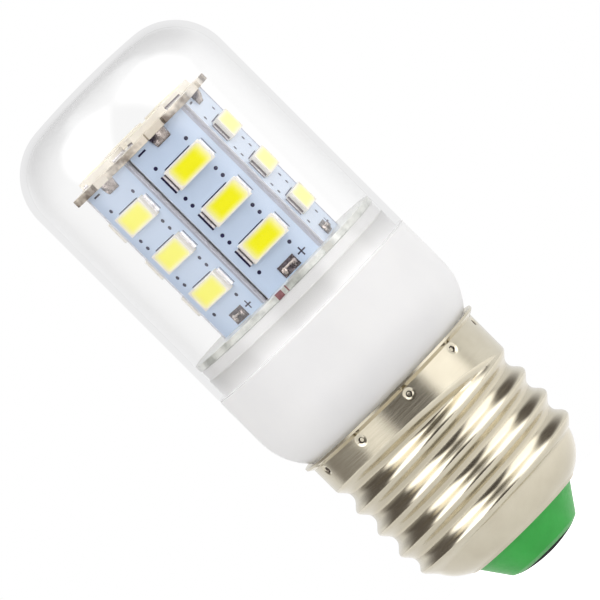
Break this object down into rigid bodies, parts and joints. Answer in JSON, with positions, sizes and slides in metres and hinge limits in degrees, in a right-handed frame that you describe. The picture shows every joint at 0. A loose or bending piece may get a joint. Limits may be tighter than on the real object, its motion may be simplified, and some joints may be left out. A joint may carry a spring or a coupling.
{
  "type": "led fridge bulb",
  "caption": "Screw-in LED fridge bulb: a threaded metal cap, a white neck and a clear domed cover over an upright column of LED strip boards.",
  "frame": {"origin": "tip of the centre contact, on the bulb's axis", "axes": "+Z along the axis from the cap to the dome; -Y is square to the face of the first LED strip"},
  "size_m": [0.0306, 0.0306, 0.0788],
  "materials": {
    "contact_metal": "dark oxidised contact, satin",
    "green_insulator": "bright green moulding, semi-gloss",
    "plated_shell": "warm nickel plate on rolled sheet, bright",
    "white_housing": "white moulding, gloss",
    "clear_cover": "clear moulded plastic, polished",
    "base_board": "fibre board with a pale top, satin",
    "white_board": "white solder mask on board, satin",
    "led_package": "cream moulded package, satin",
    "led_phosphor": "yellow phosphor in clear resin, satin",
    "led_terminal": "tinned, bright",
    "solder": "solder, semi-bright",
    "driver_board": "green solder mask on board, satin",
    "film_capacitor": "dipped red coat, gloss",
    "rectifier": "black moulded package, satin",
    "capacitor_sleeve": "dark shrink sleeve, satin",
    "resistor_coat": "blue-grey lacquer, satin",
    "tinned_pin": "tinned, bright",
    "copper_lead": "bare copper lead, satin"
  },
  "bodies": {
    "root": {"centre_contact": "contact_metal", "cap_insulator": "green_insulator", "screw_shell": "plated_shell", "neck_housing": "white_housing", "clear_cover": "clear_cover", "base_board": "base_board", "top_board": "white_board", "led_strip_1": "white_board", "led_strip_2": "white_board", "led_strip_3": "white_board", "led_strip_4": "white_board", "led_strip_5": "white_board", "led_strip_6": "white_board", "led_bodies_1": "led_package", "led_bodies_2": "led_package", "led_bodies_3": "led_package", "led_bodies_4": "led_package", "led_bodies_5": "led_package", "led_bodies_6": "led_package", "led_phosphors_1": "led_phosphor", "led_phosphors_2": "led_phosphor", "led_phosphors_3": "led_phosphor", "led_phosphors_4": "led_phosphor", "led_phosphors_5": "led_phosphor", "led_phosphors_6": "led_phosphor", "led_terminals_1": "led_terminal", "led_terminals_2": "led_terminal", "led_terminals_3": "led_terminal", "led_terminals_4": "led_terminal", "led_terminals_5": "led_terminal", "led_terminals_6": "led_terminal", "strip_joints_1": "solder", "strip_joints_2": "solder", "strip_joints_3": "solder", "strip_joints_4": "solder", "strip_joints_5": "solder", "strip_joints_6": "solder", "top_led_bodies": "led_package", "top_led_phosphors": "led_phosphor", "top_led_terminals": "led_terminal", "driver_board": "driver_board", "film_capacitor": "film_capacitor", "bridge_rectifier": "rectifier", "smoothing_capacitor": "capacitor_sleeve", "fuse_resistor": "resistor_coat", "feed_pins": "tinned_pin", "live_wire": "copper_lead", "neutral_wire": "copper_lead"}
  },
  "joints": []
}
